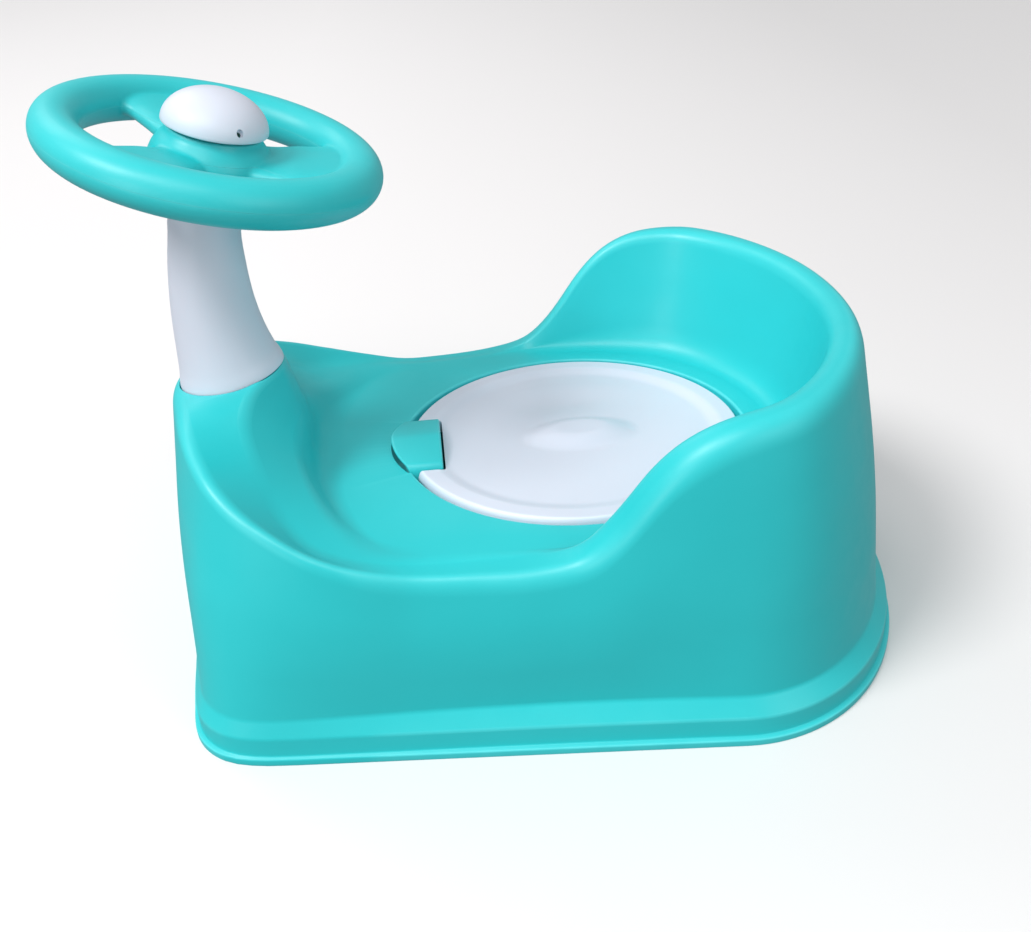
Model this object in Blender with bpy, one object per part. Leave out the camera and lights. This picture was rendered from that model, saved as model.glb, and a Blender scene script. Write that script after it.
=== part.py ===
"""Potty training chair with a toy steering wheel. Metres, +Z up.

The child faces -Y, towards the steering wheel, and leans back towards +Y.
The origin is on the floor, under the centre of the whole chair.
"""
import math

import bmesh
import bpy
import numpy as np
from mathutils import Matrix, Vector

# ---------------------------------------------------------------- driving dimensions
WALL = 0.0030                   # seat moulding thickness

SEAT_Y = 0.0316                 # centre of bowl, lid and seat opening
SEAT_Z = 0.1055                 # seat surface around the lid
OPENING_X = 0.0853              # seat opening, half width
OPENING_Y = 0.0925              # seat opening, half length
LEDGE = 0.0095                  # width of the ledge that the bowl hangs on
LEDGE_Z = 0.0950

FOOT_FRONT = 0.2190             # reach of the foot's outline from the seat centre, forwards
FOOT_BOW = 0.0080               # its front edge bows back by this much at 0.09 from the middle
FOOT_SIDE = 0.1335              # half width of the foot beside the seat centre
FOOT_TAPER = 0.0854             # the foot widens towards the back by this much per metre
FOOT_CORNER = 0.038             # front corner radius
REAR_START = 0.070              # the round back of the foot starts this far behind the seat centre
REAR_DEPTH = 0.1065             # and reaches this much further
FOOT_HEIGHT = 0.0250            # top of the slope that leads out to the stepped foot
FOOT_LEDGE = 0.0160             # foot of that slope
FOOT_STEP = 0.0100              # the wall stands this far inside the foot

WHEEL_CENTRE = Vector((0.0, -0.1322, 0.2740))
WHEEL_TILT = math.radians(16.0)
RING_R = 0.0678                 # steering wheel ring, centre line
TUBE_R = 0.01074
HUB_R = 0.0215
HUB_TOP = 0.0085
CHAMBER_R = 0.0201              # room for the squeaker inside the hub
SPINDLE_R = 0.0060

LUG_HALF = 0.0250               # bowl lug that stands up through the lid
LUG_FRONT = -0.0990             # from the seat centre
LUG_BACK = -0.0725
LUG_TOP = 0.1125
LUG_ROOF = 0.0050               # its sides are this much lower than its ridge

# Rim of the moulding on the +X side: (angle from +X about the seat centre, reach, height).
RIM = [(-90, 0.2035, 0.1550), (-82, 0.2010, 0.1545), (-76, 0.1998, 0.1520), (-72, 0.1988, 0.1475),
       (-67, 0.1965, 0.1420), (-62, 0.1915, 0.1345), (-57, 0.1840, 0.1270), (-52, 0.1755, 0.1185),
       (-45, 0.1600, 0.1075), (-38, 0.1435, 0.1010), (-24, 0.1275, 0.1005), (-8, 0.1210, 0.1045),
       (1, 0.1225, 0.1180), (10, 0.1255, 0.1455), (18, 0.1305, 0.1620), (27, 0.1365, 0.1700),
       (39, 0.1430, 0.1730), (65, 0.1415, 0.1740), (90, 0.1415, 0.1735)]
# Inner shoulder, where the rim or the pommel's top turns down to the seat.
SHOULDER = [(-90, 0.1474, 0.1655), (-87, 0.1490, 0.1655), (-84.5, 0.1535, 0.1650), (-82, 0.1610, 0.1630),
            (-79, 0.1680, 0.1565), (-76, 0.1710, 0.1480), (-69, 0.1705, 0.1320), (-62, 0.1700, 0.1190),
            (-55, 0.1670, 0.1110), (-46, 0.1510, 0.1060), (-38, 0.1330, 0.1030), (-24, 0.1165, 0.1035),
            (-8, 0.1090, 0.1090), (1, 0.1080, 0.1275), (10, 0.1105, 0.1530), (18, 0.1150, 0.1675),
            (27, 0.1210, 0.1745), (39, 0.1280, 0.1760), (65, 0.1285, 0.1757), (90, 0.1290, 0.1745)]
# Crease, where that slope meets the seat: (angle, reach, tangent length of its rounding).
CREASE = [(-90, 0.1385, 0.0135), (-75, 0.1375, 0.0095), (-63, 0.1370, 0.0050), (-52, 0.1365, 0.0022),
          (-45, 0.1320, 0.0060), (-38, 0.1220, 0.0120), (-20, 0.1060, 0.0140), (0, 0.1030, 0.0140),
          (20, 0.1060, 0.0150), (45, 0.1120, 0.0160), (90, 0.1150, 0.0160)]

ANGLES = [-90, -87, -84.5, -82, -79, -76, -72, -67, -61, -54, -46, -38, -28, -17, -6, 2, 10, 18, 27, 38,
          50, 63, 76, 90]

TEAL = (0.045, 0.520, 0.540, 1.0)
WHITE = (0.690, 0.740, 0.830, 1.0)
SOFT = (0.750, 0.700, 0.560, 1.0)
STEEL = (0.560, 0.570, 0.580, 1.0)


# ---------------------------------------------------------------- scene and materials
def clear_scene():
    for obj in list(bpy.data.objects):
        bpy.data.objects.remove(obj)


def make_material(name, colour, roughness, metallic=0.0):
    material = bpy.data.materials.new(name)
    material.use_nodes = True
    shader = material.node_tree.nodes["Principled BSDF"]
    shader.inputs["Base Color"].default_value = colour
    shader.inputs["Roughness"].default_value = roughness
    shader.inputs["Metallic"].default_value = metallic
    material.diffuse_color = colour
    return material


def add_object(name, bm, material, matrix=None):
    """Make an object from a bmesh given in the object's own coordinates."""
    bmesh.ops.recalc_face_normals(bm, faces=bm.faces)
    mesh = bpy.data.meshes.new(name)
    bm.to_mesh(mesh)
    bm.free()
    mesh.shade_smooth()
    mesh.set_sharp_from_angle(angle=math.radians(35))
    obj = bpy.data.objects.new(name, mesh)
    bpy.context.scene.collection.objects.link(obj)
    if material:
        mesh.materials.append(material)
    if matrix:
        obj.matrix_world = matrix
    return obj


def as_cutter(obj):
    obj.hide_render = True
    obj.display_type = "WIRE"
    return obj


def boolean(obj, operation, other):
    modifier = obj.modifiers.new(operation.lower(), "BOOLEAN")
    modifier.operation = operation
    modifier.solver = "EXACT"
    modifier.object = as_cutter(other)


# ---------------------------------------------------------------- small geometry tools
def smooth_curve(keys, column, at):
    """Monotone cubic through (angle, value) keys, with level ends so that halves mirror smoothly."""
    x = np.array([key[0] for key in keys], float)
    y = np.array([key[column] for key in keys], float)
    h = np.diff(x)
    d = np.diff(y) / h
    slope = np.zeros_like(y)
    for i in range(1, len(x) - 1):
        if d[i - 1] * d[i] > 0:
            w1 = 2 * h[i] + h[i - 1]
            w2 = h[i] + 2 * h[i - 1]
            slope[i] = (w1 + w2) / (w1 / d[i - 1] + w2 / d[i])
    i = int(np.clip(np.searchsorted(x, at) - 1, 0, len(h) - 1))
    t = (at - x[i]) / h[i]
    return float((1 + 2 * t) * (1 - t) ** 2 * y[i] + t * (1 - t) ** 2 * h[i] * slope[i]
                 + t * t * (3 - 2 * t) * y[i + 1] + t * t * (t - 1) * h[i] * slope[i + 1])


def foot_outline():
    """The foot's outline on the +X side as polar (angle, reach) about the seat centre."""
    front_half = FOOT_SIDE - FOOT_TAPER * (FOOT_FRONT - FOOT_CORNER)
    rear_half = FOOT_SIDE + FOOT_TAPER * REAR_START
    bow = FOOT_BOW / 0.09 ** 2
    points = [(x, -FOOT_FRONT + bow * x * x) for x in np.linspace(0, front_half - FOOT_CORNER, 8)]
    corner_y = points[-1][1] + FOOT_CORNER
    for a in np.radians(np.linspace(-75, 0, 9)):
        points.append((front_half - FOOT_CORNER * (1 - math.cos(a)), corner_y + FOOT_CORNER * math.sin(a)))
    for t in np.linspace(0.1, 0.9, 9):
        y = corner_y + t * (REAR_START - corner_y)
        points.append((FOOT_SIDE + FOOT_TAPER * y, y))
    for a in np.radians(np.linspace(0, 90, 16)):
        points.append((rear_half * math.cos(a), REAR_START + REAR_DEPTH * math.sin(a)))
    x, y = np.array(points).T
    return np.degrees(np.arctan2(y, x)), np.hypot(x, y)


FOOT_ANGLES, FOOT_REACHES = foot_outline()


def foot_reach(angle):
    return float(np.interp(angle, FOOT_ANGLES, FOOT_REACHES))


def oval_reach(angle, half_x, half_y):
    a = math.radians(angle)
    return half_x * half_y / math.hypot(half_y * math.cos(a), half_x * math.sin(a))


def round_corners(corners):
    """Turn (reach, height, tangent length, segments) corners into a polyline with rounded corners."""
    path = []
    last = len(corners) - 1
    for i, (r, z, tangent, segments) in enumerate(corners):
        here = Vector((r, z))
        if i in (0, last) or segments == 0:
            path.append(here)
            continue
        before = Vector(corners[i - 1][:2]) - here
        after = Vector(corners[i + 1][:2]) - here
        start = here + before.normalized() * min(tangent, 0.45 * before.length)
        end = here + after.normalized() * min(tangent, 0.45 * after.length)
        for k in range(segments + 1):
            t = k / segments
            path.append(start * (1 - t) ** 2 + here * (2 * t * (1 - t)) + end * t * t)
    return path


def offset_corners(corners, distance):
    """Shift a corner path to its right-hand side, keeping its corners mitred."""
    shifted = []
    points = [Vector(corner[:2]) for corner in corners]
    for i, point in enumerate(points):
        before = (point - points[i - 1]).normalized() if i else None
        after = (points[i + 1] - point).normalized() if i < len(points) - 1 else None
        normals = [Vector((d.y, -d.x)) for d in (before, after) if d]
        middle = sum(normals, Vector((0.0, 0.0))).normalized()
        scale = distance / max(0.45, middle.dot(normals[0]))
        place = point + middle * scale
        shifted.append((place.x, place.y, corners[i][2], min(corners[i][3], 1)))
    return shifted


def ring_mesh(rings, closed_loop=False):
    """Skin a list of closed rings; the ends are capped unless the rings close on themselves."""
    bm = bmesh.new()
    loops = [[bm.verts.new(point) for point in ring] for ring in rings]
    count = len(loops[0])
    pairs = list(zip(loops, loops[1:]))
    if closed_loop:
        pairs.append((loops[-1], loops[0]))
    for low, high in pairs:
        for i in range(count):
            j = (i + 1) % count
            bm.faces.new((low[i], low[j], high[j], high[i]))
    if not closed_loop:
        bm.faces.new(list(reversed(loops[0])))
        bm.faces.new(loops[-1])
    return bm


def turned(profile, segments=32, half_x=1.0, half_y=1.0):
    """A solid of revolution about Z from an open (radius, height) path, closed by flat caps."""
    rings = []
    for r, z in profile:
        ring = []
        for k in range(segments):
            a = 2 * math.pi * k / segments
            ring.append((r * half_x * math.cos(a), r * half_y * math.sin(a), z))
        rings.append(ring)
    return ring_mesh(rings)


def turned_tube(profile, segments=32):
    """A ring-shaped solid of revolution from a closed (radius, height) section."""
    rings = []
    for r, z in profile:
        rings.append([(r * math.cos(2 * math.pi * k / segments), r * math.sin(2 * math.pi * k / segments), z)
                      for k in range(segments)])
    return ring_mesh(rings, closed_loop=True)


def box_mesh(low, high):
    bm = bmesh.new()
    size = Vector(high) - Vector(low)
    centre = (Vector(high) + Vector(low)) / 2
    bmesh.ops.create_cube(bm, size=1.0, matrix=Matrix.Translation(centre) @ Matrix.Diagonal((*size, 1.0)))
    return bm


# ---------------------------------------------------------------- seat moulding
def seat_corners(angle):
    """Corners of the moulding's section, from the bowl ledge out over the rim to the floor."""
    opening = oval_reach(angle, OPENING_X, OPENING_Y)
    crease = smooth_curve(CREASE, 1, angle)
    bend = smooth_curve(CREASE, 2, angle)
    shoulder_r = smooth_curve(SHOULDER, 1, angle)
    shoulder_z = smooth_curve(SHOULDER, 2, angle)
    rim_r = smooth_curve(RIM, 1, angle)
    rim_z = smooth_curve(RIM, 2, angle)
    foot = foot_reach(angle)
    frontness = min(max((-angle - 35) / 35, 0.0), 1.0)
    wall = foot - FOOT_STEP + 0.0030 * frontness
    middle_r = (rim_r + 0.0015 + wall) / 2 + 0.0035 + 0.0025 * frontness
    middle_z = (rim_z + FOOT_HEIGHT) / 2
    return [
        (opening - LEDGE, LEDGE_Z - 0.0065, 0, 0),
        (opening - LEDGE, LEDGE_Z, 0, 0),
        (opening, LEDGE_Z, 0, 0),
        (opening + 0.0006, SEAT_Z, 0.0012, 1),
        (crease, SEAT_Z - 0.0008, bend, 3),
        (shoulder_r, shoulder_z, 0.0075, 3),
        (rim_r + 0.0015, rim_z + 0.0015, 0.0095, 3),
        (middle_r, middle_z, 0.0200, 1),
        (wall, FOOT_HEIGHT, 0.0030, 2),
        (foot - 0.0028, FOOT_LEDGE, 0.0018, 2),
        (foot - 0.0025, 0.0050, 0, 0),
        (foot, 0.0038, 0, 0),
        (foot, 0.0, 0, 0),
    ]


def seat_section(angle):
    outer = seat_corners(angle)
    inner = offset_corners(outer, WALL)
    inner[0] = (outer[0][0] + WALL, outer[0][1], 0, 0)
    inner = [corner for k, corner in enumerate(inner) if k not in (10, 11)]
    inner[-1] = (outer[-1][0] - WALL - 0.0030, 0.0, 0, 0)
    path = round_corners(outer)
    path += list(reversed(round_corners(inner)))
    return path


def full_turn(angles):
    """Angles from the front, up the +X side to the back, and down the -X side."""
    right = list(angles)
    left = [180 - angle for angle in reversed(right[1:-1])]
    return right + left


def seat_mesh():
    columns = []
    for angle in full_turn(ANGLES):
        mirrored = angle if angle <= 90 else 180 - angle
        a = math.radians(angle)
        columns.append([(p.x * math.cos(a), SEAT_Y + p.x * math.sin(a), p.y) for p in seat_section(mirrored)])
    rings = [list(ring) for ring in zip(*columns)]
    return ring_mesh(rings, closed_loop=True)


SEAM_CENTRE = Vector((0.0, SEAT_Y - 0.1746, 0.1603))
SEAM_TILT = math.atan2(0.0105, 0.0544)
COLUMN_SCREWS = [(0.0, 0.0120), (0.0115, -0.0110), (-0.0115, -0.0110)]


def seam_matrix():
    """Local frame of the deck that the column stands on, level in X and higher at the back."""
    return Matrix.Translation(SEAM_CENTRE) @ Matrix.Rotation(SEAM_TILT, 4, "X")


def make_seat(material):
    seat = add_object("seat_shell", seat_mesh(), material)
    low = (-LUG_HALF - 0.0015, SEAT_Y + LUG_FRONT - 0.0018, 0.080)
    high = (LUG_HALF + 0.0015, SEAT_Y + LUG_BACK + 0.004, 0.130)
    pocket = add_object("cut_lug_pocket", box_mesh(low, high), None)
    boolean(seat, "DIFFERENCE", pocket)
    socket = add_object("cut_column_socket", turned([(1.0, -0.0012), (1.0, 0.02)], 32, 0.0246, 0.0276),
                        None, seam_matrix())
    boolean(seat, "DIFFERENCE", socket)
    for number, (x, y) in enumerate(COLUMN_SCREWS, 1):
        place = seam_matrix() @ Matrix.Translation((x, y, 0))
        bore = turned([(0.0021, -0.02), (0.0021, 0.01)], 12)
        hole = add_object(f"cut_column_screw_{number}", bore, None, place)
        boolean(seat, "DIFFERENCE", hole)
    return seat


# ---------------------------------------------------------------- steering column
def wheel_matrix():
    return Matrix.Translation(WHEEL_CENTRE) @ Matrix.Rotation(-WHEEL_TILT, 4, "X")


def column_rings(inset, bottom, top):
    """Oval sections that rise from the tilted seam to the round neck under the wheel."""
    seam = seam_matrix()
    wheel = wheel_matrix()
    neck = wheel @ Vector((0, 0, -0.0385))
    crown = wheel @ Vector((0, 0, -0.0200))
    # (share of the way up, half width X, half length Y)
    sizes = [(0.0, 0.0240, 0.0270), (0.12, 0.0228, 0.0246), (0.28, 0.0212, 0.0224), (0.50, 0.0196, 0.0203),
             (0.75, 0.0182, 0.0185), (1.0, 0.0168, 0.0170)]
    rings = []
    for share, half_x, half_y in sizes:
        centre = SEAM_CENTRE.lerp(neck, share)
        # the axis starts upright and leans into the wheel's axis, so the column is slightly curved
        centre.y -= 0.0030 * math.sin(math.pi * share)
        tilt = SEAM_TILT * (1 - share) - WHEEL_TILT * share
        frame = Matrix.Translation(centre) @ Matrix.Rotation(tilt, 4, "X")
        rings.append((frame, half_x - inset, half_y - inset))
    crown_frame = Matrix.Translation(crown) @ Matrix.Rotation(-WHEEL_TILT, 4, "X")
    rings.append((crown_frame, 0.0160 - inset, 0.0160 - inset))
    first, last = rings[0], rings[-1]
    rings[0] = (seam @ Matrix.Translation((0, 0, bottom)), first[1], first[2])
    rings[-1] = (wheel @ Matrix.Translation((0, 0, -0.0200 + top)), last[1], last[2])
    points = []
    for frame, half_x, half_y in rings:
        points.append([frame @ Vector((half_x * math.cos(a), half_y * math.sin(a), 0))
                       for a in (2 * math.pi * k / 28 for k in range(28))])
    return points


def make_column(material):
    column = add_object("steering_column", ring_mesh(column_rings(0.0, -0.0008, 0.0)), material)
    hollow = add_object("cut_column_inside", ring_mesh(column_rings(0.0025, -0.01, -0.0030)), None)
    boolean(column, "DIFFERENCE", hollow)
    pin = turned([(0.0090, -0.0225), (0.0090, -0.0186), (SPINDLE_R, -0.0184), (SPINDLE_R, -0.0078)], 24)
    spindle = add_object("add_spindle", pin, None, wheel_matrix())
    boolean(column, "UNION", spindle)
    pilot_bore = turned([(0.0014, -0.0185), (0.0014, 0.01)], 12)
    pilot = add_object("cut_spindle_pilot", pilot_bore, None, wheel_matrix())
    boolean(column, "DIFFERENCE", pilot)
    floor = turned([(1.0, -0.0008), (1.0, 0.0030)], 32, 0.0228, 0.0258)
    base = add_object("add_column_floor", floor, None, seam_matrix())
    boolean(column, "UNION", base)
    vent_bore = turned([(0.0040, -0.0100), (0.0040, 0.0100)], 16)
    vent = add_object("cut_column_vent", vent_bore, None, seam_matrix())
    boolean(column, "DIFFERENCE", vent)
    for number, (x, y) in enumerate(COLUMN_SCREWS, 1):
        place = seam_matrix() @ Matrix.Translation((x, y, 0))
        post = turned([(0.0034, 0.0020), (0.0032, 0.0120)], 12)
        boss = add_object(f"add_column_boss_{number}", post, None, place)
        boolean(column, "UNION", boss)
        hole = turned([(0.0016, -0.004), (0.0016, 0.0100)], 12)
        bore = add_object(f"cut_column_bore_{number}", hole, None, place)
        boolean(column, "DIFFERENCE", bore)
    return column


def screw_mesh(head_r, head_h, shank_r, shank_l):
    """A pan-head screw: head below the origin plane, shank up along +Z."""
    return turned([(head_r * 0.7, -head_h), (head_r, -head_h * 0.5), (head_r, 0.0), (shank_r, 0.0),
                   (shank_r, shank_l)], 10)


# ---------------------------------------------------------------- steering wheel
SPOKES = [(90, 0.0215, 0.0300), (210, 0.0112, 0.0195), (330, 0.0112, 0.0195)]
SPOKE_SCREW_R = 0.0420


def tube_points(radius, around=32, across=10):
    rings = []
    for k in range(around):
        a = 2 * math.pi * k / around
        ring = []
        for m in range(across):
            b = 2 * math.pi * (m + 0.5) / across
            reach = RING_R + radius * math.cos(b)
            ring.append((reach * math.cos(a), reach * math.sin(a), radius * math.sin(b)))
        rings.append(ring)
    return rings


def spoke_mesh(angle, hub_half, ring_half, shrink):
    """A flat oval bar that dips from the ring to the hub, lofted along its length."""
    stations = [(0.012, hub_half, -0.0024, 0.0060), (0.027, hub_half, -0.0022, 0.0058),
                (0.047, (hub_half + ring_half) / 2, -0.0012, 0.0056),
                (RING_R - 0.003, ring_half, 0.0, 0.0056)]
    turn = Matrix.Rotation(math.radians(angle), 4, "Z")
    rings = []
    for reach, half, height, thick in stations:
        ring = []
        for k in range(10):
            b = 2 * math.pi * k / 10
            across = (half - shrink) * math.copysign(abs(math.cos(b)) ** 0.7, math.cos(b))
            up = (thick - shrink) * math.copysign(abs(math.sin(b)) ** 0.8, math.sin(b))
            ring.append(turn @ Vector((reach, across, height + up)))
        rings.append(ring)
    return ring_mesh(rings)


def wheel_solid(name, shrink, material=None):
    """Ring, spokes and hub as one solid; shrink gives the hollow inside."""
    hub = turned([(0.0150 - shrink, -0.0175 + shrink), (0.0240 - shrink, -0.0130 + shrink),
                  (0.0276 - shrink, -0.0062), (0.0250 - shrink, 0.0012), (HUB_R + 0.0003 - shrink, 0.0052),
                  (HUB_R - shrink, HUB_TOP - shrink)], 24)
    body = add_object(name, hub, material, wheel_matrix())
    ring = add_object(f"add_{name}_ring", ring_mesh(tube_points(TUBE_R - shrink), closed_loop=True), None,
                      wheel_matrix())
    boolean(body, "UNION", ring)
    for number, (angle, hub_half, ring_half) in enumerate(SPOKES, 1):
        spoke = add_object(f"add_{name}_spoke_{number}", spoke_mesh(angle, hub_half, ring_half, shrink), None,
                           wheel_matrix())
        boolean(body, "UNION", spoke)
    return body


def wheel_half(name, material, side):
    half = wheel_solid(name, 0.0, material)
    inside = wheel_solid(f"cut_{name}_inside", 0.0020)
    boolean(half, "DIFFERENCE", inside)
    for number, (angle, _, _) in enumerate(SPOKES, 1):
        place = wheel_matrix() @ Matrix.Rotation(math.radians(angle), 4, "Z") @ \
            Matrix.Translation((SPOKE_SCREW_R, 0, 0))
        post_mesh = turned([(0.0044, -0.0058), (0.0044, 0.0034)], 12)
        post = add_object(f"add_{name}_post_{number}", post_mesh, None, place)
        boolean(half, "UNION", post)
        bore = [(0.0013, -0.0020), (0.0013, 0.0029)] if side > 0 else \
            [(0.0036, -0.0120), (0.0036, -0.0036), (0.0017, -0.0035), (0.0017, 0.0060)]
        hole = add_object(f"cut_{name}_screw_{number}", turned(bore, 12), None, place)
        boolean(half, "DIFFERENCE", hole)
    floor_mesh = turned([(0.0160, -0.0165), (0.0225, -0.0125), (0.0225, -0.0070)], 24)
    floor = add_object(f"add_{name}_hub_floor", floor_mesh, None, wheel_matrix())
    boolean(half, "UNION", floor)
    room = turned([(0.0180, -0.0080), (0.0180, -0.0040), (CHAMBER_R, -0.0038), (CHAMBER_R, 0.0200)], 24)
    chamber = add_object(f"cut_{name}_chamber", room, None, wheel_matrix())
    boolean(half, "DIFFERENCE", chamber)
    bearing_bore = turned([(SPINDLE_R + 0.0003, -0.03), (SPINDLE_R + 0.0003, 0.0)], 20)
    bearing = add_object(f"cut_{name}_bearing", bearing_bore, None, wheel_matrix())
    boolean(half, "DIFFERENCE", bearing)
    low, high = (-0.1, -0.1, -0.1 if side > 0 else -0.00015), (0.1, 0.1, 0.00015 if side > 0 else 0.1)
    parting = add_object(f"cut_{name}_parting", box_mesh(low, high), None, wheel_matrix())
    boolean(half, "DIFFERENCE", parting)
    return half


def make_wheel(teal, steel):
    wheel_half("wheel_lower_shell", teal, -1)
    wheel_half("wheel_upper_shell", teal, 1)
    for number, (angle, _, _) in enumerate(SPOKES, 1):
        place = wheel_matrix() @ Matrix.Rotation(math.radians(angle), 4, "Z") @ \
            Matrix.Translation((SPOKE_SCREW_R, 0, -0.0039))
        add_object(f"wheel_screw_{number}", screw_mesh(0.0032, 0.0018, 0.0010, 0.0064), steel, place)


# ---------------------------------------------------------------- hub inside and horn
CAP_R = 0.0241
CAP_BASE = 0.0090
CAP_HEIGHT = 0.0170
CAP_WALL = 0.0017


def dome(radius, height, base, steps=5):
    return [(radius * math.cos(a), base + height * math.sin(a))
            for a in np.radians(np.linspace(0, 90 - 90 / (steps * 2), steps))]


def make_horn(white, soft, steel):
    add_object("spindle_washer", turned_tube([(0.0022, -0.0073), (0.0100, -0.0073), (0.0100, -0.0061),
                                              (0.0022, -0.0061)], 24), steel, wheel_matrix())
    flipped = wheel_matrix() @ Matrix.Translation((0, 0, -0.0057)) @ Matrix.Rotation(math.pi, 4, "X")
    add_object("spindle_screw", screw_mesh(0.0040, 0.0016, 0.0010, 0.0110), steel, flipped)
    add_object("squeaker_plate", turned_tube([(0.0046, -0.0036), (0.0193, -0.0036), (0.0193, -0.0022),
                                              (0.0046, -0.0022)], 24), white, wheel_matrix())
    add_object("squeaker_reed", turned_tube([(0.0012, -0.0034), (0.0042, -0.0034), (0.0042, -0.0010),
                                             (0.0012, -0.0010)], 16), white, wheel_matrix())
    folds = [(0.0105, -0.0018)]
    for turn in range(2):
        low = -0.0008 + turn * 0.0084
        folds += [(0.0150, low), (0.0150, low + 0.0020), (0.0105, low + 0.0042), (0.0105, low + 0.0062)]
    folds += [(0.0150, 0.0160), (0.0150, 0.0176), (0.0060, 0.0225)]
    outer = [Vector(fold) for fold in folds]
    inner = [Vector((max(r - 0.0012, 0.0030), z)) for r, z in folds[:-1]]
    inner.append(Vector((0.0030, 0.0213)))
    section = [(p.x, p.y) for p in outer + list(reversed(inner))]
    add_object("horn_bellows", turned_tube(section, 16), soft, wheel_matrix())
    outside = [(CAP_R, CAP_BASE)] + dome(CAP_R, CAP_HEIGHT, CAP_BASE + 0.0004)[1:]
    inside = [(CAP_R - CAP_WALL, CAP_BASE - 0.01)] + dome(CAP_R - CAP_WALL, CAP_HEIGHT - CAP_WALL, CAP_BASE)
    cap = add_object("horn_cap", turned(outside, 28), white, wheel_matrix())
    hollow = add_object("cut_cap_inside", turned(inside, 28), None, wheel_matrix())
    boolean(cap, "DIFFERENCE", hollow)


# ---------------------------------------------------------------- bowl and lid
def oval_solid(profile, segments=36):
    """Oval solid about the seat centre; radius 1 in the profile is the seat opening's edge."""
    rings = []
    for grow, z in profile:
        ring = []
        for k in range(segments):
            a = 2 * math.pi * k / segments
            ring.append(((OPENING_X + grow) * math.cos(a), SEAT_Y + (OPENING_Y + grow) * math.sin(a), z))
        rings.append(ring)
    return rings


def lug_mesh(bottom):
    """Finger lug with a roof-shaped top whose ridge runs fore and aft."""
    rings = []
    ends = [(0.0015, LUG_FRONT), (0.0, LUG_FRONT + 0.0020), (0.0, LUG_BACK - 0.0020), (0.0015, LUG_BACK)]
    for inset, y in ends:
        ring = [(-LUG_HALF, SEAT_Y + y, bottom), (LUG_HALF, SEAT_Y + y, bottom)]
        for share in (1.0, 0.94, 0.62, 0.30, 0.10, -0.10, -0.30, -0.62, -0.94, -1.0):
            drop = LUG_ROOF * abs(share) ** 1.5 + (0.0030 if abs(share) > 0.97 else 0.0)
            ring.append((LUG_HALF * share, SEAT_Y + y, LUG_TOP - drop - inset))
        rings.append(ring)
    return ring_mesh(rings)


def make_bowl(material):
    flange = LEDGE_Z + 0.0004
    outer = [(-0.0360, 0.0120), (-0.0300, 0.0135), (-0.0270, 0.0180), (-0.0130, 0.0900), (-0.0105, flange),
             (-0.0014, flange), (-0.0014, flange + 0.0024)]
    inner = [(-0.0135, flange + 0.0024), (-0.0160, 0.0880), (-0.0300, 0.0190), (-0.0330, 0.0160),
             (-0.0400, 0.0148)]
    bowl = add_object("bowl", ring_mesh(oval_solid(outer + inner)), material)
    low = (-LUG_HALF, SEAT_Y + LUG_FRONT, flange - 0.0012)
    high = (LUG_HALF, SEAT_Y + LUG_BACK - 0.004, flange + 0.0024)
    tongue = add_object("add_bowl_tongue", box_mesh(low, high), None)
    boolean(bowl, "UNION", tongue)
    lug = add_object("add_bowl_lug", lug_mesh(flange + 0.0010), None)
    boolean(bowl, "UNION", lug)
    return bowl


def make_lid(material):
    under = LEDGE_Z + 0.0032
    outer = [(-0.0180, under - 0.0040), (-0.0165, under), (-0.0022, under), (-0.0020, under + 0.0060),
             (-0.0045, under + 0.0094), (-0.0085, under + 0.0096), (-0.0125, under + 0.0078),
             (-0.0420, under + 0.0072), (-0.0640, under + 0.0076)]
    inside = [(-0.0640, under + 0.0052), (-0.0210, under + 0.0048), (-0.0200, under - 0.0040)]
    lid = add_object("lid", ring_mesh(oval_solid(inside + outer)), material)
    notch = add_object("cut_lid_notch", box_mesh((-LUG_HALF - 0.0012, SEAT_Y + LUG_FRONT - 0.01, 0.08),
                                                 (LUG_HALF + 0.0012, SEAT_Y + LUG_BACK + 0.0012, 0.13)), None)
    boolean(lid, "DIFFERENCE", notch)
    grip_rings = []
    for half_x, half_y, z in [(0.0200, 0.0360, under + 0.0060), (0.0175, 0.0330, under + 0.0092),
                              (0.0130, 0.0280, under + 0.0114), (0.0060, 0.0190, under + 0.0124)]:
        grip_rings.append([(half_x * math.cos(a), SEAT_Y + half_y * math.sin(a), z)
                           for a in (2 * math.pi * k / 24 for k in range(24))])
    grip = add_object("add_lid_grip", ring_mesh(grip_rings), None)
    boolean(lid, "UNION", grip)
    return lid


def make_column_screws(steel):
    for number, (x, y) in enumerate(COLUMN_SCREWS, 1):
        place = seam_matrix() @ Matrix.Translation((x, y, -0.0064))
        add_object(f"column_screw_{number}", screw_mesh(0.0034, 0.0020, 0.0012, 0.0156), steel, place)


def main():
    clear_scene()
    teal = make_material("teal_plastic", TEAL, 0.38)
    white = make_material("white_plastic", WHITE, 0.38)
    soft = make_material("soft_vinyl", SOFT, 0.60)
    steel = make_material("zinc_steel", STEEL, 0.35, 1.0)
    make_seat(teal)
    make_column(white)
    make_column_screws(steel)
    make_wheel(teal, steel)
    make_horn(white, soft, steel)
    make_bowl(teal)
    make_lid(white)


main()
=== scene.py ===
"""Looks of the potty training chair: fine moulded shells, plastics, studio floor, light and camera.

Metres throughout. X runs across the chair, -Y is the steering wheel's end and +Z is up.
"""
import math

import bmesh
import bpy
import numpy as np
from mathutils import Matrix, Vector


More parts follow.
